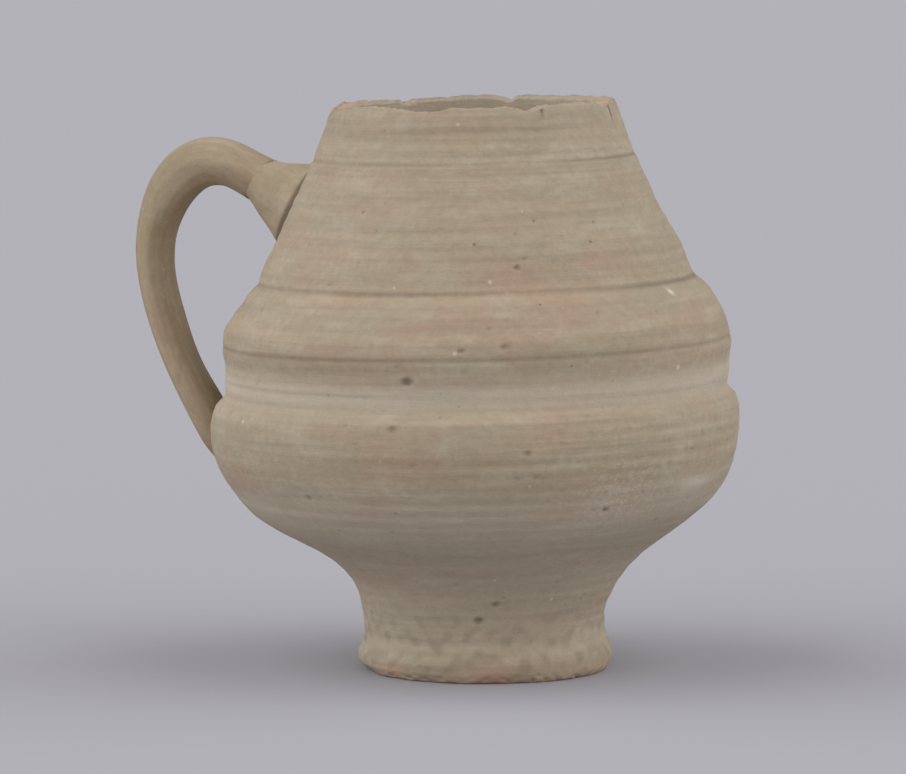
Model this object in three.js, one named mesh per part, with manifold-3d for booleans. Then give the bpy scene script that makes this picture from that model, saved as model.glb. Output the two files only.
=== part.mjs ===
// A wheel-thrown pottery cup with one handle, as a thin-walled Roman drinking cup is made.
// Sizes are in millimetres, with +Z up. The origin is the middle of the resting face, and the
// handle stands towards -X. The potter threw foot, bowl and neck from one lump, rolled the handle,
// and fixed its two ends with wads of soft clay. The lip has broken off all the way round.

import * as THREE from "three";
import { mergeVertices } from "three/addons/utils/BufferGeometryUtils.js";
import Module from "manifold-3d";

// Foot: a low solid pedestal, cut flat underneath, with a worn lower edge.
const footRadius = 22.3;
const footEdgeWear = 0.6;
const toeRadius = 23.0;
const toeRise = 2.4;
const stemRadius = 21.7;
const stemRise = 5.2;

// Bowl: one long curve from the stem out to the belly. Each end of it sets off along its own tangent.
const bellyRadius = 47.9;
const bowlRise = 36.4;
const stemTangent = { out: 1.3, up: 20.1 };
const bellyTangent = { in: 2.1, down: 23.0 };

// Belly edge and waist band, pressed in by a finger while the wheel turned.
const ridgeRadius = 47.0;
const ridgeRise = 4.8;
const waistRadius = 45.1;
const waistStep = 3.3;
const waistBand = 4.2;

// Upper bulge, from the waist to the groove under the neck cone.
const bulgeRadius = 45.9;
const bulgeRise = 2.7;
const shoulderRadius = 39.9;
const shoulderRise = 11.1;
const bulgeTangent = 3.6;
const shoulderTangent = { out: 2.9, down: 2.1 };

// Neck cone, with a groove at its foot and another below the broken lip.
const coneRise = 21.1;
const coneTopRadius = 29.2;
const shoulderGroove = { width: 1.1, depth: 0.5, ledge: 0.15 };
const neckGroove = { width: 0.9, depth: 0.3, ledge: 0.25 };
const lipRise = 9.6;
const lipRadius = 25.4;
const lipWear = 0.5;

// Wall, and the rings that the fingers left inside.
const lipWall = 3.6;
const neckWall = 3.9;
const bellyWall = 4.8;
const bowlWall = 6.0;
const floorThickness = 12.5;
const floorRadius = 9;
const floorDish = 1.4;
const fingerPitch = 9.0;
const fingerDepth = 0.6;

// How far the cup is out of true: it leans towards its handle, and each level of the wall has
// drifted a little sideways, counted towards +X.
const leanDegrees = 1.4;
const drift = { foot: 0.1, stem: 0.2, lowBowl: 1.2, midBowl: -0.1, belly: -0.7, bulge: 0.0, shoulder: 0.2, lip: 0.4 };

// The broken lip: a slow waver, and chips at angles counted from +X towards +Y.
const lipBreakReach = 5.5;
const lipWaver = [
  { turns: 2, depth: 0.15, from: 40 },
  { turns: 5, depth: 0.12, from: 100 },
  { turns: 11, depth: 0.1, from: 10 },
];
const lipChips = [
  { angle: 198, halfWidth: 26, depth: 2.2 },
  { angle: 262, halfWidth: 16, depth: 0.7 },
  { angle: 309, halfWidth: 8, depth: 1.0 },
  { angle: 350, halfWidth: 9, depth: 1.1 },
  { angle: 88, halfWidth: 6, depth: 0.7 },
  { angle: 136, halfWidth: 10, depth: 0.6 },
];

// Handle: a rolled strap in the plane y = 0. It leaves the upper wad, turns over in an arch, comes
// down past the widest point of its loop, and its thinned tip is pressed on below the belly.
const upperRootDrop = 6.9;
const upperRootReach = 8.1;
const archReach = 15.9;
const archRise = 7.1;
const loopReach = 12.0;
const loopDrop = 17.2;
const tipSink = 3.6;
const tipDrop = 9.0;
const strapSections = [
  { along: 0, thickness: 9.6, width: 14.5 },
  { along: 0.2, thickness: 9.3, width: 13 },
  { along: 0.4, thickness: 6.3, width: 12.5 },
  { along: 0.88, thickness: 6.1, width: 12.5 },
  { along: 1, thickness: 3, width: 14.5 },
];
const strapSquareness = 2.3;

// Wads of clay that hold the two ends, and the seam between any two pieces.
const upperWad = { height: 20, width: 20, sink: 3, drop: 1.3 };
const lowerWad = { height: 15, width: 18, swell: 3.2, drop: 6.4 };
const seam = 0.3;

// How finely round shapes are faceted.
const turnFacets = 60;
const bendFacetLength = 3.2;
const ringFacets = 4;
const strapFacets = 20;
const strapRings = 32;
const wadRings = 7;

const clay = new THREE.MeshStandardMaterial({ color: 0xa89a86, roughness: 0.93, metalness: 0 });
const handleClay = new THREE.MeshStandardMaterial({ color: 0xa49078, roughness: 0.93, metalness: 0 });
const wadClay = new THREE.MeshStandardMaterial({ color: 0xa8987f, roughness: 0.95, metalness: 0 });

// Heights above the resting face, each stacked on the one below.
const toeHeight = toeRise;
const stemHeight = toeHeight + stemRise;
const bellyHeight = stemHeight + bowlRise;
const ridgeHeight = bellyHeight + ridgeRise;
const waistHeight = ridgeHeight + waistStep;
const waistTopHeight = waistHeight + waistBand;
const bulgeHeight = waistTopHeight + bulgeRise;
const shoulderHeight = bulgeHeight + shoulderRise;
const coneHeight = shoulderHeight + shoulderGroove.width;
const neckGrooveHeight = coneHeight + coneRise;
const lipFootHeight = neckGrooveHeight + neckGroove.width;
const lipHeight = lipFootHeight + lipRise;

const wasm = await Module();
wasm.setup();

// A closed geometry as a solid that can be cut.
function solidOf(geometry) {
  const bare = geometry.clone();
  bare.deleteAttribute("normal");
  bare.deleteAttribute("uv");
  const merged = mergeVertices(bare, 1e-4);
  return new wasm.Manifold(
    new wasm.Mesh({
      numProp: 3,
      vertProperties: new Float32Array(merged.attributes.position.array),
      triVerts: new Uint32Array(merged.index.array),
    }),
  );
}

// A cut solid as a geometry again.
function geometryOf(solid) {
  const mesh = solid.getMesh();
  const geometry = new THREE.BufferGeometry();
  geometry.setAttribute("position", new THREE.BufferAttribute(mesh.vertProperties, 3));
  geometry.setIndex(new THREE.BufferAttribute(mesh.triVerts, 1));
  geometry.computeVertexNormals();
  return geometry;
}

// Points along an outline: a straight run gives its end, and a bend one for each facet.
function outlinePoints(path) {
  const points = [path.curves[0].getPoint(0)];
  for (const run of path.curves) {
    const facets = run instanceof THREE.LineCurve ? 1 : Math.max(2, Math.round(run.getLength() / bendFacetLength));
    points.push(...run.getPoints(facets).slice(1));
  }
  return points;
}

// The outside of the thrown wall, from the middle of the resting face up to the broken lip.
function outerOutline() {
  const outline = new THREE.Path();
  outline.moveTo(0, 0);
  outline.lineTo(footRadius - footEdgeWear, 0);
  outline.quadraticCurveTo(footRadius, 0, footRadius + footEdgeWear / 2, footEdgeWear);
  outline.quadraticCurveTo(toeRadius, toeHeight / 2, toeRadius, toeHeight);
  outline.bezierCurveTo(
    toeRadius, toeHeight + stemRise / 2,
    stemRadius, stemHeight - stemRise / 2,
    stemRadius, stemHeight,
  );
  outline.bezierCurveTo(
    stemRadius + stemTangent.out, stemHeight + stemTangent.up,
    bellyRadius - bellyTangent.in, bellyHeight - bellyTangent.down,
    bellyRadius, bellyHeight,
  );
  outline.quadraticCurveTo(bellyRadius, bellyHeight + ridgeRise / 2, ridgeRadius, ridgeHeight);
  outline.bezierCurveTo(
    ridgeRadius - waistStep / 4, ridgeHeight + waistStep / 2,
    waistRadius, waistHeight - waistStep / 2,
    waistRadius, waistHeight,
  );
  outline.lineTo(waistRadius, waistTopHeight - bulgeRise / 2);
  outline.bezierCurveTo(
    waistRadius, waistTopHeight + bulgeRise / 4,
    bulgeRadius, bulgeHeight - bulgeRise / 2,
    bulgeRadius, bulgeHeight,
  );
  outline.bezierCurveTo(
    bulgeRadius, bulgeHeight + bulgeTangent,
    shoulderRadius + shoulderTangent.out, shoulderHeight - shoulderTangent.down,
    shoulderRadius, shoulderHeight,
  );
  groove(outline, shoulderGroove, shoulderHeight, coneTopRadius, coneRise);
  outline.lineTo(coneTopRadius, neckGrooveHeight);
  groove(outline, neckGroove, neckGrooveHeight, lipRadius, lipRise);
  outline.lineTo(lipRadius, lipHeight - lipWear);
  outline.lineTo(lipRadius - lipWear, lipHeight);
  return outline;
}

// A groove scratched round the wall, after which the wall goes on a ledge further in, on its way
// to nextRadius over nextRise.
function groove(outline, cut, height, nextRadius, nextRise) {
  const radius = outline.currentPoint.x;
  const taper = ((radius - nextRadius) / (nextRise + cut.width)) * cut.width;
  outline.lineTo(radius - taper / 2 - cut.depth, height + cut.width / 2);
  outline.lineTo(radius - taper - cut.ledge, height + cut.width);
}

const outerPoints = outlinePoints(outerOutline());

// Radius of the outside of the wall at a height.
function wallRadius(height) {
  const wall = outerPoints.slice(1);
  const above = Math.max(1, wall.findIndex((point) => point.y >= height));
  const share = (height - wall[above - 1].y) / (wall[above].y - wall[above - 1].y);
  return THREE.MathUtils.lerp(wall[above - 1].x, wall[above].x, share);
}

// The point a wall's thickness inside the outer surface, square to it.
function insidePoint(height, thickness) {
  const slope = (wallRadius(height + 1) - wallRadius(height - 1)) / 2;
  const inwards = new THREE.Vector2(-1, slope).normalize();
  return new THREE.Vector2(wallRadius(height), height).addScaledVector(inwards, thickness);
}

// The inside of the wall, from the lip down to the floor, with the rings that the fingers left.
function innerPoints() {
  const flareHeight = stemHeight + bowlRise / 3;
  const fullHeight = stemHeight + (bowlRise * 2) / 3;
  const run = new THREE.SplineCurve([
    new THREE.Vector2(lipRadius - lipWall, lipHeight),
    insidePoint(neckGrooveHeight - neckGroove.width, neckWall),
    insidePoint(coneHeight + coneRise / 3, neckWall),
    insidePoint(shoulderHeight - shoulderRise / 3, neckWall),
    insidePoint(waistTopHeight, neckWall),
    insidePoint(bellyHeight, bellyWall),
    insidePoint(fullHeight, bowlWall),
    insidePoint(flareHeight, bowlWall),
    new THREE.Vector2(floorRadius, floorThickness + floorDish),
    new THREE.Vector2(0, floorThickness),
  ]);
  const rings = Math.round((lipHeight - floorThickness) / fingerPitch);
  const points = run.getSpacedPoints(rings * ringFacets);
  return points.map((point, i) => {
    const ring = (1 - Math.cos((i / ringFacets) * 2 * Math.PI)) / 2;
    const nearAxis = Math.min(1, point.x / (2 * floorRadius));
    return new THREE.Vector2(Math.max(0, point.x - fingerDepth * ring * nearAxis), point.y);
  });
}

// Sideways drift of the wall's centre at a height.
const driftStations = [
  { height: 0, drift: drift.foot },
  { height: stemHeight, drift: drift.stem },
  { height: stemHeight + bowlRise / 3, drift: drift.lowBowl },
  { height: stemHeight + bowlRise * 0.6, drift: drift.midBowl },
  { height: bellyHeight, drift: drift.belly },
  { height: bulgeHeight, drift: drift.bulge },
  { height: shoulderHeight, drift: drift.shoulder },
  { height: lipHeight, drift: drift.lip },
];

function driftAt(height) {
  const inside = THREE.MathUtils.clamp(height, 0, lipHeight);
  const next = Math.max(1, driftStations.findIndex((station) => station.height >= inside));
  const [low, high] = [driftStations[next - 1], driftStations[next]];
  return THREE.MathUtils.lerp(low.drift, high.drift, THREE.MathUtils.smoothstep(inside, low.height, high.height));
}

// How much of the lip is missing at an angle in degrees.
function lipLoss(angle) {
  let loss = 0;
  for (const wave of lipWaver) {
    loss += (wave.depth * (1 - Math.cos(THREE.MathUtils.degToRad(wave.turns * angle - wave.from)))) / 2;
  }
  for (const chip of lipChips) {
    const away = Math.abs(THREE.MathUtils.euclideanModulo(angle - chip.angle + 180, 360) - 180);
    if (away < chip.halfWidth) loss += (chip.depth * (1 + Math.cos((Math.PI * away) / chip.halfWidth))) / 2;
  }
  return loss;
}

// Turns an outline round the wheel's axis, which is +Z, and lets each level drift.
function thrown(points) {
  const geometry = new THREE.LatheGeometry(points, turnFacets);
  geometry.rotateX(Math.PI / 2);
  const position = geometry.attributes.position;
  for (let i = 0; i < position.count; i++) {
    position.setX(i, position.getX(i) + driftAt(position.getZ(i)));
  }
  return geometry;
}

// Lowers the top of the wall to the break, each point sliding down along the wall's own slope.
function breakLip(geometry) {
  const foot = lipHeight - lipBreakReach;
  const slope = (lipRadius - wallRadius(foot)) / lipBreakReach;
  const centre = driftAt(lipHeight);
  const position = geometry.attributes.position;
  for (let i = 0; i < position.count; i++) {
    const height = position.getZ(i);
    if (height <= foot) continue;
    const [x, y] = [position.getX(i) - centre, position.getY(i)];
    const angle = THREE.MathUtils.radToDeg(Math.atan2(y, x));
    const drop = (lipLoss(angle) * (height - foot)) / lipBreakReach;
    const wider = 1 - (slope * drop) / Math.hypot(x, y);
    position.setXYZ(i, centre + x * wider, y * wider, height - drop);
  }
}

// The block below the table: whatever of the leaning cup reaches into it was cut away.
function tableBlock(lean) {
  const block = new THREE.BoxGeometry(4 * toeRadius, 4 * toeRadius, 2 * toeRise);
  block.translate(0, 0, -toeRise);
  block.rotateY(lean);
  return solidOf(block);
}

// The vessel: outer and inner outline turned as one, with a spare slice under the foot for the cut.
function thrownBody(lean) {
  const spare = toeRadius * Math.tan(lean) + seam;
  const below = [new THREE.Vector2(0, -spare), new THREE.Vector2(footRadius - footEdgeWear, -spare)];
  const geometry = thrown([...below, ...outerPoints.slice(2), ...innerPoints()]);
  breakLip(geometry);
  return solidOf(geometry).subtract(tableBlock(lean));
}

// The wall as one filled solid, a seam larger all over: what is fixed to the wall is cut by it.
function wallBlank() {
  const grown = outerPoints.slice(1).map((point) => new THREE.Vector2(point.x + seam, point.y));
  const top = new THREE.Vector2(0, lipHeight);
  return solidOf(thrown([new THREE.Vector2(0, 0), ...grown, top]));
}

// One closed skin over a row of rings that all have as many points.
function loft(rings) {
  const size = rings[0].length;
  const vertices = rings.flat();
  const faces = [];
  for (let r = 0; r + 1 < rings.length; r++) {
    for (let i = 0; i < size; i++) {
      const [a, b] = [r * size + i, r * size + ((i + 1) % size)];
      faces.push(a, b + size, b, a, a + size, b + size);
    }
  }
  const last = (rings.length - 1) * size;
  for (let i = 1; i + 1 < size; i++) {
    faces.push(0, i, i + 1, last, last + i + 1, last + i);
  }
  const geometry = new THREE.BufferGeometry().setFromPoints(vertices);
  geometry.setIndex(faces);
  return geometry;
}

// A rounded strap section in the plane through centre that is square to along. The section's
// thickness lies in the handle's own plane, y = 0, and its width along Y.
function strapSection(centre, along, thickness, width) {
  const outwards = new THREE.Vector3(-along.z, 0, along.x).normalize();
  const sideways = new THREE.Vector3(0, 1, 0);
  const power = 2 / strapSquareness;
  return Array.from({ length: strapFacets }, (_, i) => {
    const turn = (2 * Math.PI * i) / strapFacets;
    const [c, s] = [Math.cos(turn), Math.sin(turn)];
    return centre
      .clone()
      .addScaledVector(outwards, (Math.sign(c) * Math.abs(c) ** power * thickness) / 2)
      .addScaledVector(sideways, (Math.sign(s) * Math.abs(s) ** power * width) / 2);
  });
}

// A point on the wall on the handle's side.
function onWall(height) {
  return new THREE.Vector3(driftAt(height) - wallRadius(height), 0, height);
}

const upperRoot = onWall(neckGrooveHeight - upperRootDrop);
const wadRoot = onWall(neckGrooveHeight - upperRootDrop - upperWad.drop);
const lowerRoot = onWall(bellyHeight);
const coneNormal = new THREE.Vector3(-coneRise, 0, shoulderRadius - coneTopRadius).normalize();

// The strap's centre line, as three bends that meet at the top of the arch and at the widest point.
function strapLine() {
  const start = upperRoot.clone().addScaledVector(coneNormal, upperRootReach);
  const arch = new THREE.Vector3(upperRoot.x - archReach, 0, upperRoot.z + archRise);
  const widest = new THREE.Vector3(lowerRoot.x - loopReach, 0, arch.z - loopDrop);
  const tip = new THREE.Vector3(lowerRoot.x + tipSink, 0, lowerRoot.z - tipDrop);
  const line = new THREE.CurvePath();
  line.add(bend(start, { x: -3.4, z: 2.0 }, arch, { x: -3.2, z: 0 }));
  line.add(bend(arch, { x: -6.4, z: 0 }, widest, { x: 0, z: -9.0 }));
  line.add(bend(widest, { x: 0, z: -13 }, tip, { x: 8, z: -13.9 }));
  return line;
}

// A bend in the plane y = 0 that leaves one point and comes to the next along the given steps.
function bend(from, leaving, to, coming) {
  const first = new THREE.Vector3(from.x + leaving.x, 0, from.z + leaving.z);
  const second = new THREE.Vector3(to.x - coming.x, 0, to.z - coming.z);
  return new THREE.CubicBezierCurve3(from, first, second, to);
}

const centreLine = strapLine();

// Thickness or width of the strap at a share of its length.
function strapSize(share, size) {
  const next = Math.max(1, strapSections.findIndex((section) => section.along >= share));
  const [low, high] = [strapSections[next - 1], strapSections[next]];
  return THREE.MathUtils.lerp(low[size], high[size], THREE.MathUtils.smoothstep(share, low.along, high.along));
}

// The strap as one loft, grown by some clearance where it cuts a wad.
function strap(clearance) {
  const rings = [];
  for (let i = 0; i <= strapRings; i++) {
    const share = i / strapRings;
    const thickness = strapSize(share, "thickness") + 2 * clearance;
    const width = strapSize(share, "width") + 2 * clearance;
    rings.push(strapSection(centreLine.getPointAt(share), centreLine.getTangentAt(share), thickness, width));
  }
  return solidOf(loft(rings));
}

// The upper wad: it leaves the strap's end at the strap's own section and spreads over the wall.
function upperWadBlank() {
  const along = centreLine.getTangentAt(0);
  const from = centreLine.getPointAt(0).addScaledVector(along, -seam);
  const to = wadRoot.clone().addScaledVector(coneNormal, -upperWad.sink);
  const rings = [];
  for (let i = 0; i <= wadRings; i++) {
    const share = 1 - i / wadRings;
    const spread = share * share;
    const facing = along.clone().lerp(coneNormal, share).normalize();
    const height = THREE.MathUtils.lerp(strapSize(0, "thickness"), upperWad.height, spread);
    const width = THREE.MathUtils.lerp(strapSize(0, "width"), upperWad.width, spread);
    rings.push(strapSection(from.clone().lerp(to, share), facing, height, width));
  }
  return solidOf(loft(rings));
}

// The lower wad: a low cushion of clay thumbed over the strap's tip, half sunk in the wall.
function lowerWadBlank() {
  const middle = onWall(bellyHeight - lowerWad.drop);
  const cushion = new THREE.SphereGeometry(1, strapFacets, strapFacets / 2);
  cushion.scale(lowerWad.swell, lowerWad.width / 2, lowerWad.height / 2);
  cushion.translate(middle.x, 0, middle.z);
  return solidOf(cushion);
}

function piece(name, solid, material) {
  const mesh = new THREE.Mesh(geometryOf(solid), material);
  mesh.name = name;
  return mesh;
}

const lean = THREE.MathUtils.degToRad(leanDegrees);
const wall = wallBlank();

const cup = new THREE.Group();
const leaning = new THREE.Group();
leaning.rotation.y = -lean;
leaning.add(
  piece("thrown_body", thrownBody(lean), clay),
  piece("handle_strap", strap(0).subtract(wall), handleClay),
  piece("upper_wad", upperWadBlank().subtract(wall), wadClay),
  piece("lower_wad", lowerWadBlank().subtract(wall).subtract(strap(seam)), wadClay),
);
cup.add(leaning);

export default cup;
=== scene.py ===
"""A wheel-thrown earthenware cup with one handle and a broken lip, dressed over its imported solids.

Lengths are in millimetres and turn to metres where a mesh is made. The cup was thrown a little out
of true, so its pieces are made upright in the wheel's own frame and then leaned over together.
"""
import math

import bpy
import numpy as np
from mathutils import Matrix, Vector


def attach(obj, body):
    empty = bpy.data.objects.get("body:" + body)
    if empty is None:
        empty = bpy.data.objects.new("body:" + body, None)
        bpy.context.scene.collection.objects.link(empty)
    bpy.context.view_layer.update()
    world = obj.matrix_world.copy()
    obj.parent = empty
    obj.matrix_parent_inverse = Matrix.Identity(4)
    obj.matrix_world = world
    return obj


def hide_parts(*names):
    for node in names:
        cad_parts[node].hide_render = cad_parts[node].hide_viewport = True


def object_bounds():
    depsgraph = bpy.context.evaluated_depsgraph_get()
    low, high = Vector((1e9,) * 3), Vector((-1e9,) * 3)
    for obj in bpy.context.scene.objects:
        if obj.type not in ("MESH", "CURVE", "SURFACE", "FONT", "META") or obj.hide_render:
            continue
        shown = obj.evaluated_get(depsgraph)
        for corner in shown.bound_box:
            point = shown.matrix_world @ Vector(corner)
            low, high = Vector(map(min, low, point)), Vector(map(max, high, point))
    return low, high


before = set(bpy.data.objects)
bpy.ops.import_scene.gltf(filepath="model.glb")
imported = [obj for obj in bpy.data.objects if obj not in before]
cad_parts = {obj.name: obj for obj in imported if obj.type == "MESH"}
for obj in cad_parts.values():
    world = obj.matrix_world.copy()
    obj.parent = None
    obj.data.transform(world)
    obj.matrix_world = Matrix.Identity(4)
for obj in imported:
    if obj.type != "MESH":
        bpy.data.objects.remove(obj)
cad_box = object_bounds()


# The thrown body: foot, bowl, waist, shoulder and neck of buff earthenware, thrown from one lump on
# the wheel, wiped with a wet cloth as it turned, cut off with a string and fired without a glaze.
# Its lip has broken off all the way round, and the break and the foot are worn.
MM = 0.001
LEAN = math.radians(1.4)

# The outside of the wall from the foot up: radii, heights, and how far each bend is pulled.
foot_radius, foot_edge_wear, foot_swell = 22.3, 0.6, 0.3
toe_radius, toe_height = 23.0, 2.4
stem_radius, stem_height, stem_bend = 21.7, toe_height + 5.2, 2.6
bowl_low, bowl_high = stem_height + 12.1, stem_height + 21.8
bowl_flare, bowl_turn = (1.3, 20.1), (-2.1, -23.0)
belly_radius, belly_height, belly_bend = 47.9, stem_height + 36.4, 2.4
ridge_radius, ridge_height = 47.0, belly_height + 4.8
waist_radius, waist_height, waist_bend = 45.1, ridge_height + 3.3, 1.65
waist_top_height = waist_height + 4.2
bulge_radius, bulge_height, bulge_bend = 45.9, waist_top_height + 2.7, 1.3
bulge_crown, shoulder_turn = 3.6, (2.9, -2.1)
shoulder_radius, shoulder_height = 39.9, bulge_height + 11.1
shoulder_groove_width, shoulder_groove_step, shoulder_groove_bend = 1.1, 0.65, 0.8
cone_radius = shoulder_radius - shoulder_groove_step
cone_height = shoulder_height + shoulder_groove_width
cone_top_radius, neck_groove_height = 29.2, cone_height + 21.1
neck_groove_width, neck_groove_step, neck_groove_bend = 0.9, 0.55, 0.6
lip_foot_radius = cone_top_radius - neck_groove_step
lip_foot_height = neck_groove_height + neck_groove_width
lip_radius, lip_height = 25.4, lip_foot_height + 9.6

# The wall's thickness, and the inside: its floor, the bend into it, and the rings left by a finger.
lip_wall, neck_wall, belly_wall, bowl_wall = 3.6, 3.9, 4.8, 6.0
bowl_wall_drop = 12
floor_height, floor_radius, floor_dish, floor_middle = 12.5, 9.0, 1.4, 0.3
bowl_to_floor, floor_to_bowl = (-4.5, -2.6), (5, 1.2)
finger_pitch, finger_depth = 9.0, 0.6

# How fine the mesh is: points round the wall, and millimetres from ring to ring.
around_body = 640
outside_step, inside_step, break_step, underside_step = 0.3, 0.8, 0.25, 0.6
underside_middle = 0.4

# Where the wall has drifted sideways from the wheel's axis: a height, and how far towards +X.
drift_stations = [
    (0, 0.1),
    (stem_height, 0.2),
    (bowl_low, 1.2),
    (bowl_high, -0.1),
    (belly_height, -0.7),
    (bulge_height, 0.0),
    (shoulder_height, 0.2),
    (lip_height, 0.4),
]

# Waves that throwing left: depth, most turns round, least pitch up the wall, how many, seed. Those of
# the inside fade out over its floor.
throwing_waves = [(0.04, 2, 1.6, 9, 11), (0.06, 3, 5.5, 7, 12), (0.09, 5, 22, 8, 13)]
inside_waves, inside_fade = [(0.12, 6, 9, 8, 21)], 20
# The skin that carries them starts above the foot's edge and ends below the break.
skin_starts, skin_ends = (0.4, 3), (lip_height - 2.5, lip_height)
# Slow swells and hollows of the wall: angle, height, spread up and down, depth of the swell. The
# focus is how fast a swell fades away from its angle.
swells = [
    (15, 83.5, 2.6, -0.3),
    (15, 77, 2.6, 0.3),
    (15, 72.3, 1.8, -0.3),
    (15, 68.6, 1.8, 0.3),
    (15, 54, 3.4, 0.6),
    (195, 54.5, 3, 0.4),
    (195, 95, 2.5, 0.3),
    (195, 74, 2.5, 0.3),
    (195, 67.3, 2, -0.4),
    (195, 62.3, 2, 0.35),
]
swell_focus = 1.5
# Fine lines the potter's tool left: height, half width, depth.
# One tool line is darkened with painted shade, at this height.
shaded_line_height = 59.8
tool_lines = [
    (90.6, 0.35, 0.16),
    (75.4, 0.35, 0.1),
    (shaded_line_height, 0.4, 0.18),
    (53.4, 0.4, 0.14),
    (9.8, 0.45, 0.15),
]

# Pits where grains of sand or lime fell out: angle, height, half size, depth.
pits = [
    (269.5, 56.2, 0.7, 0.5),
    (281.7, 61.5, 0.45, 0.3),
    (291.2, 62.0, 0.45, 0.25),
    (296.2, 75.1, 0.45, 0.3),
    (267.4, 48.1, 0.6, 0.25),
    (296.1, 43.6, 0.5, 0.25),
    (315.3, 32.5, 0.45, 0.35),
    (244.5, 35.4, 0.5, 0.25),
    (15.0, 11.2, 2.1, 0.7),
    (281.9, 11.3, 0.6, 0.35),
    (289.0, 14.3, 0.5, 0.3),
]
small_pit_count, small_pit_seed, small_pit_heights = 220, 7, (2, 100)
small_pit_size, small_pit_depth = (0.22, 0.42), (0.05, 0.16)
# Wiping drew each pit out sideways: its height is this share of its width. One this deep is fully
# darkened, with dirt and painted shade, and every one is darkened a little.
pit_share = 0.7
pit_fully_dark_depth, pit_least_darkening = 0.4, 0.1
# The wall stays this far inside the belly's radius, so that the cup keeps its packed size.
box_clearance = 0.02

# Chips out of the lip: the middle's angle from +X towards +Y, half the width in degrees, the depth.
chips = [(198, 26, 2.2), (262, 16, 0.7), (309, 8, 1.0), (350, 9, 1.1), (88, 6, 0.7), (136, 10, 0.6)]
# The wall is lowered into them over this reach. Notches are waves that don't change with height, so
# their pitch is written as 1.
chip_reach = 5.5
lip_wear = 0.3
lip_notches = [(0.14, 36, 1, 24, 51), (0.06, 110, 1, 24, 52)]
# The break's face: how far its edges are rounded off, and the waves of its crumbs.
break_rounding = 0.4
break_crumbs = [(0.16, 60, 2, 14, 41), (0.12, 150, 1, 14, 42)]

# The foot's edge: how high up it is worn and how high up it stands flat, the waves of its nibbles
# and crumbs, and two longer chips as angle, half the width in degrees, depth.
foot_wear_height, foot_flat_height = 2.2, 3
foot_nibbles, foot_crumbs = [(0.3, 23, 1, 16, 31)], [(0.25, 70, 1.2, 24, 32)]
foot_chips = [(208, 13, 1.5), (300, 9, 0.5)]
# The string's marks under the foot: the middle of their arcs, their pitch and half their depth.
string_middle, string_pitch, string_depth = (30, 12), 1.7, 0.14


def line(*controls, steps=60):
    """Points along a straight run, or along a bend with one or two controls between its ends."""
    share = np.linspace(0, 1, steps + 1)[:, None]
    points = [np.tile(np.array(c, float), (steps + 1, 1)) for c in controls]
    while len(points) > 1:
        points = [a + (b - a) * share for a, b in zip(points, points[1:])]
    return points[0]


def moved(point, out, up):
    """A point of an outline, moved outwards and up."""
    return (point[0] + out, point[1] + up)


def evenly(points, spacing):
    """The same outline with its points an even distance apart."""
    run = np.concatenate([[0], np.cumsum(np.linalg.norm(np.diff(points, axis=0), axis=1))])
    even = np.linspace(0, run[-1], int(round(run[-1] / spacing)) + 1)
    return np.column_stack([np.interp(even, run, column) for column in points.T])


def smoothstep(value, low, high):
    """Zero up to the low value, one from the high value on, and a soft rise between them."""
    share = np.clip((np.asarray(value, float) - low) / (high - low), 0, 1)
    return share * share * (3 - 2 * share)


def bell(value, middle, half):
    """One at the middle, falling softly to nothing on both sides, with its half width."""
    return np.exp(-(((value - middle) / half) ** 2))


def drift_at(level):
    """How far the wall's centre has drifted towards +X at a height."""
    out = np.full_like(np.asarray(level, float), drift_stations[0][1])
    for (low, a), (high, b) in zip(drift_stations, drift_stations[1:]):
        out = np.where(level > low, a + (b - a) * smoothstep(level, low, high), out)
    return out


def leaned(points):
    """Points of the wheel's frame in millimetres, leaned over with the cup, in metres."""
    x, y, z = np.asarray(points, float).T
    across = x * math.cos(LEAN) - z * math.sin(LEAN)
    up = x * math.sin(LEAN) + z * math.cos(LEAN)
    return np.column_stack([across, y, up]) * MM


def waves(first, second, turns, pitch, count, seed):
    """Random waves, about one high when added up. The first way is an angle and takes whole turns, up
    to a number of them. Along the second way no wave is shorter than the pitch."""
    draw = np.random.default_rng(seed)
    total = np.zeros(np.broadcast(first, second).shape)
    for _ in range(count):
        along = draw.integers(0, turns + 1)
        rise = draw.uniform(0.4, 1.0) * 2 * math.pi / pitch * draw.choice([-1, 1])
        total += np.cos(along * first + rise * second + draw.uniform(0, 2 * math.pi))
    return total / math.sqrt(count)


def marks(first, second, kinds):
    """Several kinds of waves added up, each given as its depth and then as waves takes it."""
    return sum(depth * waves(first, second, *kind) for depth, *kind in kinds)


def patchy(usual, contrast, wave):
    """A share from none to all that is more than usual in some places and less in others."""
    return np.clip(usual + contrast * wave, 0, 1)


def off_angle(turn, middle):
    """Degrees from a middle given in degrees, the short way round."""
    return (np.degrees(turn) - middle + 180) % 360 - 180


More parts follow.
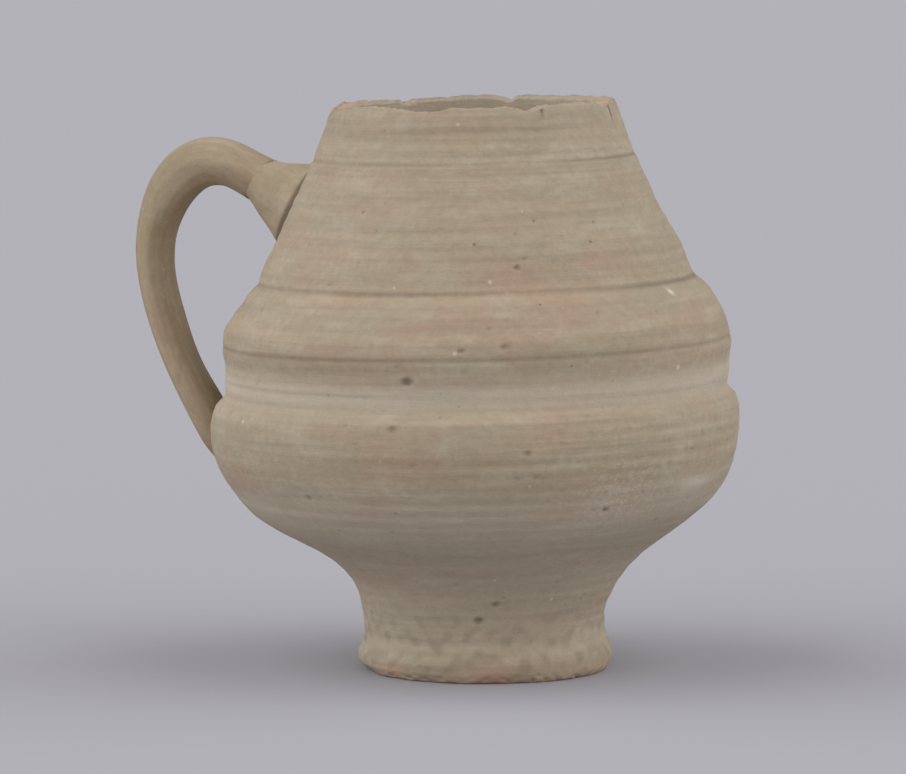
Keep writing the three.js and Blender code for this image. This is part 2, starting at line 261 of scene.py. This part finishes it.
foot_top = (foot_radius + foot_swell, foot_edge_wear)
toe = (toe_radius, toe_height)
stem = (stem_radius, stem_height)
belly = (belly_radius, belly_height)
ridge = (ridge_radius, ridge_height)
waist = (waist_radius, waist_height)
waist_top = (waist_radius, waist_top_height - bulge_bend)
bulge = (bulge_radius, bulge_height)
shoulder = (shoulder_radius, shoulder_height)
cone_foot = (cone_radius, cone_height)
cone_top = (cone_top_radius, neck_groove_height)
lip_foot = (lip_foot_radius, lip_foot_height)
lip = (lip_radius, lip_height)
outside = evenly(
    np.concatenate([
        line((foot_radius - foot_edge_wear, 0), (foot_radius, 0), foot_top),
        line(foot_top, (toe_radius, toe_height / 2), toe),
        line(toe, moved(toe, 0, stem_bend), moved(stem, 0, -stem_bend), stem),
        line(stem, moved(stem, *bowl_flare), moved(belly, *bowl_turn), belly),
        line(belly, moved(belly, 0, belly_bend), ridge),
        line(ridge, moved(ridge, -waist_bend, waist_bend), moved(waist, 0, -waist_bend), waist),
        line(waist, waist_top),
        line(waist_top, moved(waist_top, 0, bulge_bend), moved(bulge, 0, -bulge_bend), bulge),
        line(bulge, moved(bulge, 0, bulge_crown), moved(shoulder, *shoulder_turn), shoulder),
        line(shoulder, moved(shoulder, -shoulder_groove_bend, shoulder_groove_width / 2), cone_foot),
        line(cone_foot, cone_top),
        line(cone_top, moved(cone_top, -neck_groove_bend, neck_groove_width / 2), lip_foot),
        line(lip_foot, lip),
    ]),
    outside_step,
)


def wall_radius(level):
    """The radius of the outside at a height, before its marks."""
    return np.interp(level, outside[:, 1], outside[:, 0])


def inside_line():
    """The inside of the wall, from the lip down to the middle of the floor, with the finger rings."""
    levels = np.linspace(lip_height, bowl_low, 120)
    reach = 2
    slope = (wall_radius(levels + reach) - wall_radius(levels - reach)) / (2 * reach)
    slope[:3] = slope[3]
    stations = {
        bowl_low: bowl_wall,
        belly_height - bowl_wall_drop: bowl_wall,
        belly_height: belly_wall,
        waist_top_height: neck_wall,
        lip_foot_height: neck_wall,
        lip_height: lip_wall,
    }
    wall = np.interp(levels, list(stations), list(stations.values()))
    across = np.hypot(1, slope)
    down = np.column_stack([wall_radius(levels) - wall / across, levels + wall * slope / across])
    down = np.concatenate([[(lip_radius - lip_wall, lip_height)], down[down[:, 1] < lip_height - 1]])
    dish = (floor_radius, floor_height + floor_dish)
    bend = line(down[-1], moved(down[-1], *bowl_to_floor), moved(dish, *floor_to_bowl), dish)
    middle = line(dish, (floor_radius / 2, floor_height), (floor_middle, floor_height))
    points = evenly(np.concatenate([down, bend[1:], middle[1:]]), inside_step)
    ring = (1 - np.cos(2 * math.pi * np.arange(len(points)) * inside_step / finger_pitch)) / 2
    points[:, 0] -= finger_depth * ring * np.clip(points[:, 0] / (2 * floor_radius), 0, 1)
    return points


def closed_mesh(name, points, around, grain, **masks):
    """One closed skin over rings of points, its two ends each drawn together in one point. The grain
    is where a point lies in the clay, for the material, and the masks are values along the skin."""
    last = len(points) - around
    coords = np.vstack([points, points[:around].mean(0), points[last:].mean(0)])
    low = np.arange(last).reshape(-1, around)
    right = np.roll(low, -1, axis=1)
    quads = np.stack([low, right, right + around, low + around], axis=-1).reshape(-1, 4).tolist()
    fans = [(len(points), (i + 1) % around, i) for i in range(around)]
    fans += [(len(points) + 1, last + i, last + (i + 1) % around) for i in range(around)]
    mesh = bpy.data.meshes.new(name)
    mesh.from_pydata(coords.tolist(), [], quads + fans)
    mesh.shade_smooth()
    layer = mesh.attributes.new("grain", "FLOAT_VECTOR", "POINT")
    grain = np.vstack([grain, grain[:around].mean(0), grain[last:].mean(0)]) * MM
    layer.data.foreach_set("vector", grain.astype(np.float32).ravel())
    for mask, values in masks.items():
        values = np.clip(values.ravel(), 0, 1)
        layer = mesh.attributes.new(mask, "FLOAT", "POINT")
        layer.data.foreach_set("value", np.append(values, [values[0], values[-1]]).astype(np.float32))
    piece = bpy.data.objects.new(name, mesh)
    bpy.context.scene.collection.objects.link(piece)
    return piece


# What shows in the clay, in millimetres. Grit, lime and sand are drawn coarser than they are in the
# clay, where most grains are too fine to show. The pull draws the clouds out along the streaks.
cloud_size, patch_size, mottle_size, sand_size = 27.78, 12.5, 1.613, 0.769
grit_spacing, lime_spacing = 3.03, 4.167
cloud_pull, skin_depth = 3.333, 0.3
grit_colour, lime_grain_colour = "#5a4d3e", "#cfc6b4"
# The pale bloom's colour also paints light, and the dark dirt's colour also paints shade.
broken_clay, limy_bloom_and_light, dirt_and_shade_colour = "#b2907a", "#d3cab9", "#4a3e31"


def linear(code):
    """A hex sRGB colour as linear red, green, blue and alpha."""
    shares = [int(code[i : i + 2], 16) / 255 for i in (1, 3, 5)]
    return [c / 12.92 if c <= 0.04045 else ((c + 0.055) / 1.055) ** 2.4 for c in shares] + [1.0]


def per_metre(size):
    """A pattern's scale from the real size of one of its marks in millimetres."""
    return 1 / (size * MM)


def add(tree, kind, settings, **links):
    """A node with its settings, each an input's value or a property, and what feeds its inputs."""
    node = tree.nodes.new(kind)
    for name, value in settings.items():
        if name in node.inputs:
            node.inputs[name].default_value = value
        else:
            setattr(node, name, value)
    for name, source in links.items():
        tree.links.new(source, node.inputs[name.replace("_", " ")])
    return node


def earthenware(name, clay, warm, pale, wiping):
    """Buff earthenware, fired without a glaze: matt and fine-grained, so it takes light softly. Clouds
    of warm and pale clay, wiping streaks, dark grit and pale limestone grains break up its one colour,
    and pinker worn clay, a pale bloom that is partly painted light and dark dirt that is partly painted
    shade in the low places go over them. Wiping is how long a streak is in millimetres along the
    grain's three ways."""
    material = bpy.data.materials.new(name)
    material.use_nodes = True
    tree = material.node_tree
    shader = tree.nodes["Principled BSDF"]
    grain = add(tree, "ShaderNodeAttribute", {"attribute_name": "grain"}).outputs["Vector"]
    grime = add(tree, "ShaderNodeAttribute", {"attribute_name": "grime"}).outputs["Fac"]
    wear = add(tree, "ShaderNodeAttribute", {"attribute_name": "wear"}).outputs["Fac"]
    lime = add(tree, "ShaderNodeAttribute", {"attribute_name": "lime"}).outputs["Fac"]

    pulled = {"Scale": [1 + cloud_pull / size for size in wiping]}
    banded = add(tree, "ShaderNodeMapping", pulled, Vector=grain).outputs[0]
    noise = {"Scale": per_metre(cloud_size), "Detail": 5, "Roughness": 0.6}
    cloud = add(tree, "ShaderNodeTexNoise", noise, Vector=banded)
    span = {"From Min": 0.42, "From Max": 0.68}
    warmth = add(tree, "ShaderNodeMapRange", span, Value=cloud.outputs["Fac"])
    mix = {"Color1": linear(clay), "Color2": linear(warm)}
    colour = add(tree, "ShaderNodeMixRGB", mix, Fac=warmth.outputs[0])
    noise = {"Scale": per_metre(patch_size), "Detail": 6, "Roughness": 0.65}
    patch = add(tree, "ShaderNodeTexNoise", noise, Vector=banded)
    span = {"From Min": 0.46, "From Max": 0.74, "To Max": 0.55}
    paleness = add(tree, "ShaderNodeMapRange", span, Value=patch.outputs["Fac"])
    mix = {"Color2": linear(pale)}
    colour = add(tree, "ShaderNodeMixRGB", mix, Fac=paleness.outputs[0], Color1=colour.outputs[0])

    streaked = {"Scale": [per_metre(size) for size in wiping]}
    stretched = add(tree, "ShaderNodeMapping", streaked, Vector=grain)
    noise = {"Scale": 1, "Detail": 5, "Roughness": 0.7}
    streak = add(tree, "ShaderNodeTexNoise", noise, Vector=stretched.outputs[0])
    noise = {"Scale": per_metre(mottle_size), "Detail": 4, "Roughness": 0.7}
    mottle = add(tree, "ShaderNodeTexNoise", noise, Vector=grain)
    for source, low, high in ((streak, 0.86, 1.06), (mottle, 0.9, 1.09)):
        span = {"From Min": 0.3, "From Max": 0.7, "To Min": low, "To Max": high}
        shade = add(tree, "ShaderNodeMapRange", span, Value=source.outputs["Fac"]).outputs[0]
        mix = {"blend_type": "MULTIPLY", "Fac": 1}
        colour = add(tree, "ShaderNodeMixRGB", mix, Color1=colour.outputs[0], Color2=shade)

    # Only some of the cells hold a grain, those whose lot is past the start, and its size varies.
    grains = ((grit_spacing, grit_colour, 0.7), (lime_spacing, lime_grain_colour, 0.86))
    for spacing, paint, start in grains:
        cell = add(tree, "ShaderNodeTexVoronoi", {"Scale": per_metre(spacing)}, Vector=grain)
        lot = add(tree, "ShaderNodeSeparateColor", {}, Color=cell.outputs["Color"])
        span = {"From Min": start, "From Max": 1, "To Min": 0.001, "To Max": 0.18}
        size = add(tree, "ShaderNodeMapRange", span, Value=lot.outputs["Red"]).outputs[0]
        span = {"To Min": 0.7, "To Max": 0, "interpolation_type": "SMOOTHSTEP"}
        dot = add(tree, "ShaderNodeMapRange", span, Value=cell.outputs["Distance"], From_Max=size)
        mix = {"Color2": linear(paint)}
        colour = add(tree, "ShaderNodeMixRGB", mix, Fac=dot.outputs[0], Color1=colour.outputs[0])

    # Worn pink clay, a pale bloom that is partly painted light, and dark dirt that is partly painted
    # shade go over the clay.
    broken = add(tree, "ShaderNodeMapRange", {"To Max": 0.75}, Value=wear).outputs[0]
    for paint, share in ((broken_clay, broken), (limy_bloom_and_light, lime), (dirt_and_shade_colour, grime)):
        mix = {"Color2": linear(paint)}
        colour = add(tree, "ShaderNodeMixRGB", mix, Fac=share, Color1=colour.outputs[0])
    tree.links.new(colour.outputs[0], shader.inputs["Base Color"])

    # Clay fired without a glaze is rough, and its open pores take half of the usual sheen.
    span = {"From Min": 0.3, "From Max": 0.7, "To Min": 0.78, "To Max": 0.96}
    matt = add(tree, "ShaderNodeMapRange", span, Value=mottle.outputs["Fac"])
    tree.links.new(matt.outputs[0], shader.inputs["Roughness"])
    shader.inputs["Specular IOR Level"].default_value = 0.25
    bump = {"Strength": 0.45, "Distance": skin_depth * MM}
    wiped = add(tree, "ShaderNodeBump", bump, Height=streak.outputs["Fac"])
    noise = {"Scale": per_metre(sand_size), "Detail": 5, "Roughness": 0.7}
    sandy = add(tree, "ShaderNodeTexNoise", noise, Vector=grain)
    bump = {"Strength": 0.5, "Distance": skin_depth * MM}
    skin = add(tree, "ShaderNodeBump", bump, Height=sandy.outputs["Fac"], Normal=wiped.outputs[0])
    tree.links.new(skin.outputs[0], shader.inputs["Normal"])
    return material


# The rings of the skin, from the middle of the underside up the outside, over the break and down
# the inside to the middle of the floor.
under_edge = np.array([(underside_middle, 0), (foot_radius - foot_edge_wear, 0)])
underside = evenly(under_edge, underside_step)[:-1]
lip_break = evenly(np.array([lip, (lip_radius - lip_wall, lip_height)]), break_step)[1:-1]
parts = [underside, outside, lip_break, inside_line()]
rows = np.concatenate(parts)
part = np.repeat(np.arange(len(parts)), [len(p) for p in parts])[:, None]
part = part * np.ones((1, around_body), int)
is_under, is_outside, is_break, is_inside = [(part == k).astype(float) for k in range(len(parts))]
turns = np.linspace(0, 2 * math.pi, around_body, endpoint=False)
angle = turns[None, :] * np.ones((len(rows), 1))
radius = rows[:, :1] * np.ones((1, around_body))
height = rows[:, 1:] * np.ones((1, around_body))
all_heights = 0 * height

# Throwing waves, swells and tool lines.
skin = is_outside * smoothstep(height, *skin_starts) * (1 - smoothstep(height, *skin_ends))
relief = marks(angle, height, throwing_waves)
for middle, level, spread, swell in swells:
    facing = np.clip(np.cos(np.radians(off_angle(angle, middle))), 0, 1) ** swell_focus
    relief += swell * facing * bell(height, level, spread)
for level, half, depth in tool_lines:
    pressed = patchy(0.6, 0.5, waves(angle, all_heights, turns=4, pitch=1, count=6, seed=int(level)))
    relief -= depth * pressed * bell(height, level, half)

# Pits, the placed ones and the small ones all over the wall.
dents = np.zeros_like(radius)
pit_dirt_and_shade = np.zeros_like(radius)
draw = np.random.default_rng(small_pit_seed)
for _ in range(small_pit_count):
    place = (draw.uniform(0, 360), draw.uniform(*small_pit_heights))
    pits.append((*place, draw.uniform(*small_pit_size), draw.uniform(*small_pit_depth)))
for middle, level, half, depth in pits:
    near = (np.abs(rows[:, 1] - level) < 3 * half) & (is_outside[:, 0] > 0)
    aside = np.radians(off_angle(angle[near], middle)) * radius[near] * pit_share
    dent = np.exp(-((np.hypot(aside, height[near] - level) / half) ** 4))
    dents[near] += depth * dent
    # How dark each pit is painted, with dirt and painted shade.
    pit_dirt_and_shade[near] += np.clip(depth / pit_fully_dark_depth, pit_least_darkening, 1) * dent
radius = radius + relief * skin - np.clip(dents, 0, 1) * is_outside
radius += marks(angle, height, inside_waves) * is_inside * np.clip(radius / inside_fade, 0, 1)
radius = np.where(is_outside > 0, np.minimum(radius, belly_radius - box_clearance), radius)

# The broken lip: the top of the wall is lowered into the chips, and the break's face crumbles.
lip_loss = lip_wear + marks(angle, all_heights, lip_notches)
for middle, half, depth in chips:
    away = np.abs(off_angle(angle, middle))
    lip_loss += np.where(away < half, depth * (1 + np.cos(math.pi * away / half)) / 2, 0)
break_foot = lip_height - chip_reach
reach = np.clip((height - break_foot) / chip_reach, 0, None)
taper = (lip_radius - wall_radius(break_foot)) / chip_reach
drop = np.clip(lip_loss, 0, None) * reach
across = np.clip(2 * (radius - lip_radius + lip_wall) / lip_wall - 1, -1, 1)
radius = radius - taper * drop * (1 - is_under)
crumble = break_rounding * np.abs(across) ** 3
for depth, *kind in break_crumbs:
    crumble += depth * np.abs(waves(angle, rows[:, :1], *kind))
height = height - drop - crumble * is_break

# The worn edge of the foot.
foot_edge = (1 - smoothstep(height, 0, foot_wear_height)) * is_outside
worn = np.clip(marks(angle, all_heights, foot_nibbles), 0, None)
worn += np.clip(marks(angle, height, foot_crumbs), 0, None)
for middle, half, depth in foot_chips:
    worn += depth * bell(off_angle(angle, middle), 0, half)
radius = radius - foot_edge * worn

# The string's marks under the foot. The cup leans, but its foot was pressed flat on the board.
x = radius * np.cos(angle) + drift_at(height)
y = radius * np.sin(angle)
arcs = np.hypot(x - string_middle[0], y - string_middle[1])
string_marks = string_depth * (1 + np.sin(arcs * 2 * math.pi / string_pitch)) * is_under
placed = leaned(np.column_stack([x.ravel(), y.ravel(), (height + string_marks).ravel()]))
flat = (1 - smoothstep(height, 0, foot_flat_height)) * (1 - is_inside)
placed[:, 2] -= (x * flat).ravel() * math.sin(LEAN) * MM
placed = np.clip(placed, np.array(cad_box[0]), np.array(cad_box[1]))


def spots(places):
    """Soft spots on the outside of the wall: angle, height, half width, half height, strength."""
    total = np.zeros_like(radius)
    for middle, level, wide, high, strength in places:
        aside = np.radians(off_angle(angle, middle)) * radius
        total += strength * np.exp(-((aside / wide) ** 2) - ((height - level) / high) ** 2)
    return total * is_outside


def between(rising, falling):
    """One between two heights and zero beyond them, each given with where its change ends."""
    return smoothstep(height, *rising) * (1 - smoothstep(height, *falling))


# Painted shade darkens both grooves, one tool line, the pits, the underside of the foot and the inside
# low down, and the pits hold some dirt as well. Dirt stays on the stem, round the handle's upper joint
# and in two cracks of the lip. The number that each starts with is how strong it is, and the joint's
# size turns its edge into millimetres.
groove_shade = [(0.5, shoulder_height + 0.6, 0.4), (0.4, neck_groove_height + 0.5, 0.3)]
stem_dirt_ends, inside_shade_ends = (6, 16), (20, 45)
joint_height, joint_half_height, joint_half_width, joint_size = 84.3, 8.3, 9.2, 9.0
joint_crack, joint_least, joint_lowest = 0.6, 0.2, 70
lip_cracks = [(354, 100.9, 0.35, 1.8, 0.8), (313, 101.9, 0.4, 1.1, 0.7)]
patches = patchy(0.55, 0.4, waves(angle, all_heights, turns=5, pitch=1, count=8, seed=62))
# Painted shade in the two grooves and in one tool line.
grime = sum(strength * patches * bell(height, level, half) for strength, level, half in groove_shade)
grime += 0.3 * bell(height, shaded_line_height, 0.4)
smears = np.clip(waves(angle, height, turns=40, pitch=3.5, count=24, seed=63), 0, 1)
grime += 0.2 * smears * (1 - smoothstep(height, *stem_dirt_ends))
grime *= skin
joint_edge = np.hypot(y / joint_half_width, (height - joint_height) / joint_half_height) - 1
opened = patchy(0.7, 0.5, waves(angle, height, turns=60, pitch=4, count=12, seed=64))
by_handle = (x < 0) * is_outside * (height > joint_lowest) * np.maximum(opened, joint_least)
grime += 0.6 * bell(joint_edge * joint_size, 0, joint_crack) * by_handle
# Dirt and painted shade in the pits.
grime += 0.6 * pit_dirt_and_shade
# Painted shade under the foot and low down inside the cup.
grime += 0.18 * is_under
grime += 0.25 * is_inside * (1 - smoothstep(height, *inside_shade_ends))
grime += spots(lip_cracks)

# The clay is pinker where it is worn: on the break, along the foot's edge and inside the neck.
lip_inside = (86, 96)
worn_places = [(238, 2.4, 3.5, 1.2, 1.2), (287, 1.5, 3.5, 1.6, 1.2)]
wear = foot_edge * (0.15 + worn)
wear += 0.5 * is_break
wear += 0.35 * is_inside * smoothstep(height, *lip_inside)
wear += spots(worn_places)

# Lime has bloomed white on the bowl's underside, the waist and the stem, where the pale colour is
# partly painted light, in one spall and one scratch, and as crumbs in a scuffed place. The pale
# colour inside the neck is painted light.
stem_bottom, stem_top, bowl_side, waist_lime = (1, 5), (14, 22), (30, 40), (53.2, 3.2)
lime_spall, lime_scratch = (342.1, 69.2, 0.7, 0.5, 0.9), (343, 35.4, 6, 0.9, 0.4)
scuff = (319, 35, 10, 7, 0.25)
# Painted light, with a pale bloom, on the lower bowl, the waist and the stem.
bloom_and_painted_light = 0.24 * between(stem_top, bowl_side)
bloom_and_painted_light += 0.32 * bell(height, *waist_lime)
bloom_and_painted_light += 0.12 * between(stem_bottom, stem_top)
bloom_and_painted_light *= skin
# Painted light on the inside of the neck.
bloom_and_painted_light += 0.25 * is_inside * smoothstep(height, *lip_inside)
bloom_and_painted_light += spots([lime_spall, lime_scratch])
crumbs = waves(angle, height, turns=420, pitch=1.0, count=40, seed=61) > 0.7
bloom_and_painted_light += spots([scuff]) * crumbs

# Wiped round as it turned: its streaks run level, long and thin.
body_wiping = (62.5, 62.5, 1.786)
body_clays = ("#a2957d", "#a68f78", "#b4aa95")
body_finish = earthenware("wheel-thrown buff earthenware", *body_clays, body_wiping)
upright = [radius * np.cos(angle), radius * np.sin(angle), height]
grain = np.column_stack([way.ravel() for way in upright])
body = closed_mesh("thrown_wall", placed, around_body, grain, grime=grime, wear=wear, lime=bloom_and_painted_light)
body.data.materials.append(body_finish)
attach(body, "root")
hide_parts("thrown_body")


# The handle: one strap of the same clay, rolled and smoothed along its length between finger and
# thumb. It turns over in an arch, comes down in a loop, and its thinned tip is pressed on the bowl.
around_strap, strap_step = 96, 0.35
# Its sections are rounded: 2 is an oval and more is squarer. Its sizes are at shares of its length.
strap_squareness = 2.3
strap_run = [0, 0.2, 0.4, 0.88, 1]
strap_thick = [9.6, 9.3, 6.3, 6.1, 3.0]
strap_wide = [14.5, 13.0, 12.5, 12.5, 14.5]
# Where the strap goes: root, arch, widest place and tip, and how its bends are pulled between them.
root_drop, root_reach = 6.9, 8.1
root_to_arch, tip_in_bowl = (-15.9, 0, 7.1), (3.6, 0, -9.0)
widest_out, widest_drop = 12.0, 17.2
root_pull, arch_back = (-3.4, 0, 2.0), (3.2, 0, 0)
arch_over, widest_up = (-6.4, 0, 0), (0, 0, 9.0)
widest_down, tip_pull = (0, 0, -13), (-8, 0, 13.9)
# The fingers left waves as in the wall, thinned the strap, and pinched its root on the inner face.
strap_waves = [(0.1, 5, 45, 10, 71), (0.12, 3, 16, 8, 72), (0.06, 14, 30, 16, 73)]
strap_thinning = 0.2
root_pinch, root_pinch_place, root_pinch_length = 1.3, 4, 6
# Each piece has its own place in the clay, so that no pattern shows twice.
strap_clay = 60
strap_turn = np.linspace(0, 2 * math.pi, around_strap, endpoint=False)[None, :]
inner_side = np.clip(-np.cos(strap_turn), 0, 1)


def on_wall(level):
    """A point on the wall on the handle's side."""
    return np.array([float(drift_at(level)) - float(wall_radius(level)), 0, level])


def eased(share, run, sizes):
    """A size at a share of a length, eased from station to station."""
    out = np.full_like(share, sizes[0])
    for low, high, a, b in zip(run, run[1:], sizes, sizes[1:]):
        out = np.where(share > low, a + (b - a) * smoothstep(share, low, high), out)
    return out


def sections(centres, facings, thickness, width, relief):
    """Rounded sections round a line of centres, each square to its facing in the handle's plane."""
    c, s = np.cos(strap_turn[0]), np.sin(strap_turn[0])
    out = np.sign(c) * np.abs(c) ** (2 / strap_squareness)
    side = -np.sign(s) * np.abs(s) ** (2 / strap_squareness)
    outwards = np.column_stack([-facings[:, 2], 0 * facings[:, 0], facings[:, 0]])
    outwards /= np.linalg.norm(outwards, axis=1)[:, None]
    thick = out[None, :] * (thickness[:, None] / 2 + relief)
    wide = side[None, :] * (width[:, None] / 2 + relief)
    points = centres[:, None, :] + outwards[:, None, :] * thick[..., None]
    points[..., 1] += wide
    return points.reshape(-1, 3), thick, wide


cone_normal = np.array([cone_height - neck_groove_height, 0, shoulder_radius - cone_top_radius])
cone_normal /= np.linalg.norm(cone_normal)
upper_root = on_wall(neck_groove_height - root_drop)
lower_root = on_wall(belly_height)
start = upper_root + root_reach * cone_normal
arch = upper_root + root_to_arch
widest = np.array([lower_root[0] - widest_out, 0, arch[2] - widest_drop])
tip = lower_root + tip_in_bowl
centre_line = evenly(
    np.concatenate([
        line(start, start + root_pull, arch + arch_back, arch),
        line(arch, arch + arch_over, widest + widest_up, widest),
        line(widest, widest + widest_down, tip + tip_pull, tip),
    ]),
    strap_step,
)
share = np.linspace(0, 1, len(centre_line))
heading = np.gradient(centre_line, axis=0)
length = (share * strap_step * len(share))[:, None]
smoothing = marks(strap_turn, length, strap_waves) - strap_thinning
smoothing -= root_pinch * inner_side * bell(length, root_pinch_place, root_pinch_length)
points, thick, wide = sections(
    centre_line,
    heading,
    eased(share, strap_run, strap_thick),
    eased(share, strap_run, strap_wide),
    np.minimum(smoothing, 0),
)
grain = np.column_stack([thick.ravel() + strap_clay, wide.ravel(), (length + 0 * thick).ravel()])

# Painted shade darkens the inner face a little, the tip where it meets the bowl, and the top where the
# strap leaves its collar.
inner_face = smoothstep(-thick, 0.5, 3) * smoothstep(length, 3, 14)
at_tip = smoothstep(length, length.max() - 12, length.max() - 3)
on_top = smoothstep(np.cos(strap_turn), 0.5, 0.9)
at_collar = 1 - smoothstep(length, 0.2, 1.4)
shade_and_crack = 0.16 * inner_face + 0.5 * at_tip + 0.5 * on_top * at_collar
clean = 0 * thick
strap = closed_mesh(
    "rolled_strap", leaned(points), around_strap, grain, grime=shade_and_crack, wear=clean, lime=clean
)

# Smoothed along between the fingers: its streaks run along the strap.
strap_wiping = (1.923, 1.923, 50)
strap_clays = ("#a49378", "#a38c72", "#b3a58f")
strap_finish = earthenware("hand-rolled buff earthenware", *strap_clays, strap_wiping)
strap.data.materials.append(strap_finish)
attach(strap, "root")
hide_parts("handle_strap")


# The upper wad: a collar of soft clay that joins the strap's root to the neck, thumbed out over the
# wall all round so that it spreads concavely. Its thin edge has dried to a hairline crack.
collar_height, collar_width, collar_length, collar_rings = 20.0, 20.0, 12, 60
# How deep it sits in the wall, how far it sags, how far it laps the strap, and how hollow it spreads.
collar_sink, collar_sag, collar_lap, collar_spread = 3.0, 1.3, 0.15, 1.4
# It is thinned at the strap, filled out again after a share of its length, and pinched underneath.
collar_waves = [(0.1, 6, 9, 10, 81)]
collar_thinning, collar_filling, collar_filled_share = 0.35, 0.3, 0.35
collar_pinch, collar_pinch_fall = 0.83, 1.5
collar_clay = 90
collar_root = on_wall(neck_groove_height - root_drop - collar_sag)
root_heading = heading[0] / np.linalg.norm(heading[0])
collar_from = centre_line[0] + collar_lap * root_heading
collar_to = collar_root - collar_sink * cone_normal
share = np.linspace(1, 0, collar_rings)[:, None]
spread = share[:, 0] ** collar_spread
thumbing = marks(strap_turn, share * collar_length, collar_waves) - collar_thinning
thumbing += collar_filling * smoothstep(share, 0, collar_filled_share)
thumbing -= collar_pinch * inner_side * (1 - share) ** collar_pinch_fall
points, thick, wide = sections(
    collar_from + (collar_to - collar_from) * share,
    root_heading * (1 - share) + cone_normal * share,
    strap_thick[0] + (collar_height - strap_thick[0]) * spread,
    strap_wide[0] + (collar_width - strap_wide[0]) * spread,
    np.minimum(thumbing, 0),
)
clean = 0 * thick
along = share + clean
grain = np.column_stack([thick.ravel() + collar_clay, wide.ravel(), (along * collar_length).ravel()])

# Painted shade darkens the top where it meets the strap, and dirt darkens the crack along the wall.
at_strap = 1 - smoothstep(along, 0, 0.08)
in_crack = smoothstep(along, 0.7, 0.78)
shade_and_crack = 0.4 * on_top * at_strap + 0.7 * in_crack
upper = closed_mesh(
    "thumbed_collar", leaned(points), around_strap, grain, grime=shade_and_crack, wear=clean, lime=clean
)

# Pressed and dragged with the thumb: its streaks are short and broad.
wad_wiping = (3.846, 3.846, 11.11)
wad_clays = ("#a9997f", "#a8937a", "#b6a993")
wad_finish = earthenware("thumbed buff earthenware", *wad_clays, wad_wiping)
upper.data.materials.append(wad_finish)
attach(upper, "root")
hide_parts("upper_wad")


# The lower wad: a low cushion of the same clay under the strap's tip, smeared down over the bowl
# with the thumb so that the tip can't spring off as the cup dries.
cushion_height, cushion_rings = belly_height - 6.4, 60
cushion_half_height, cushion_half_width, cushion_swell = 7.5, 9.0, 1.2
# Thumbing left waves, whose pitch is an angle here, and took a share off it. The mesh starts and ends
# a small angle from its poles.
cushion_waves, cushion_thinning, cushion_pole = [(0.05, 5, 2, 10, 91)], 0.06, 0.03
cushion_clay = (160, 0, 0)
polar = np.linspace(cushion_pole, math.pi - cushion_pole, cushion_rings)[:, None]
thumbed = 1 + np.minimum(marks(strap_turn, polar, cushion_waves) - cushion_thinning, 0)
out = -np.cos(polar) * thumbed
side = np.sin(polar) * np.cos(strap_turn) * thumbed
up = np.sin(polar) * np.sin(strap_turn) * thumbed
level = cushion_height + up * cushion_half_height
aside = side * cushion_half_width
on_bowl = drift_at(level) - np.sqrt(wall_radius(level) ** 2 - aside**2) + out * cushion_swell
points = np.stack([on_bowl, aside, level], axis=-1).reshape(-1, 3)
grain = points + cushion_clay
# Painted shade: the whole cushion is darkened a little, and its lower side more.
lower_edge = smoothstep(-up, 0.2, 0.9)
shade_and_crack = 0.35 + 0.3 * lower_edge
clean = 0 * shade_and_crack
lower = closed_mesh(
    "thumbed_cushion", leaned(points), around_strap, grain, grime=shade_and_crack, wear=clean, lime=clean
)
lower.data.materials.append(wad_finish)
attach(lower, "root")
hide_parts("lower_wad")


# The floor: a plain pale sheet of matt card under the cup, wide enough to be the background too.
# Half its side is in metres.
floor_half = 8.0
floor_mesh = bpy.data.meshes.new("floor")
corners = [(-1, -1, 0), (1, -1, 0), (1, 1, 0), (-1, 1, 0)]
floor_mesh.from_pydata([(floor_half * a, floor_half * b, c) for a, b, c in corners], [], [(0, 1, 2, 3)])
floor = bpy.data.objects.new("floor", floor_mesh)
bpy.context.scene.collection.objects.link(floor)
# Uncoated card: even and dull, with no shine, so that only the cup's soft shadow shows on it.
card = bpy.data.materials.new("matt pale card")
card.use_nodes = True
card_shader = card.node_tree.nodes["Principled BSDF"]
card_shader.inputs["Base Color"].default_value = linear("#a7a5a9")
card_shader.inputs["Roughness"].default_value = 0.95
card_shader.inputs["Specular IOR Level"].default_value = 0.0
floor_mesh.materials.append(card)


# The light: a broad soft lamp on each side, a weak one from the camera's side, and an even pale room.
def soft_sun(name, strength, towards, elevation, spread, colour):
    """A broad lamp far off, standing towards an angle from +X and an elevation, in degrees."""
    lamp = bpy.data.lights.new(name, "SUN")
    lamp.energy = strength
    lamp.color = linear(colour)[:3]
    lamp.angle = math.radians(spread)
    holder = bpy.data.objects.new(name, lamp)
    holder.rotation_euler = (0, math.radians(90 - elevation), math.radians(towards))
    bpy.context.scene.collection.objects.link(holder)


soft_sun("left lamp", strength=2.35, towards=205, elevation=33, spread=85, colour="#f6f8ff")
soft_sun("right lamp", strength=2.1, towards=5, elevation=33, spread=85, colour="#f6f8ff")
soft_sun("front fill", strength=0.42, towards=285, elevation=7, spread=60, colour="#ffffff")
world = bpy.data.worlds.new("pale room")
world.use_nodes = True
world.node_tree.nodes["Background"].inputs["Color"].default_value = linear("#ffffff")
world.node_tree.nodes["Background"].inputs["Strength"].default_value = 0.42
bpy.context.scene.world = world


# The camera: a long lens a metre off, a little above the cup and turned a little past its front.
# Its distance and height are in metres.
camera_distance, camera_height = 1.0476, 0.157
azimuth, turned_left, looking_down = math.radians(15), math.radians(0.31), math.radians(5.78)
long_lens = bpy.data.cameras.new("camera")
long_lens.lens = 231.3
long_lens.sensor_width = 36
camera = bpy.data.objects.new("camera", long_lens)
ground_place = (camera_distance * math.sin(azimuth), -camera_distance * math.cos(azimuth))
camera.location = (*ground_place, camera_height)
camera.rotation_euler = (math.pi / 2 - looking_down, 0, azimuth + turned_left)
bpy.context.scene.collection.objects.link(camera)
bpy.context.scene.camera = camera
bpy.context.scene.view_settings.view_transform = "Standard"
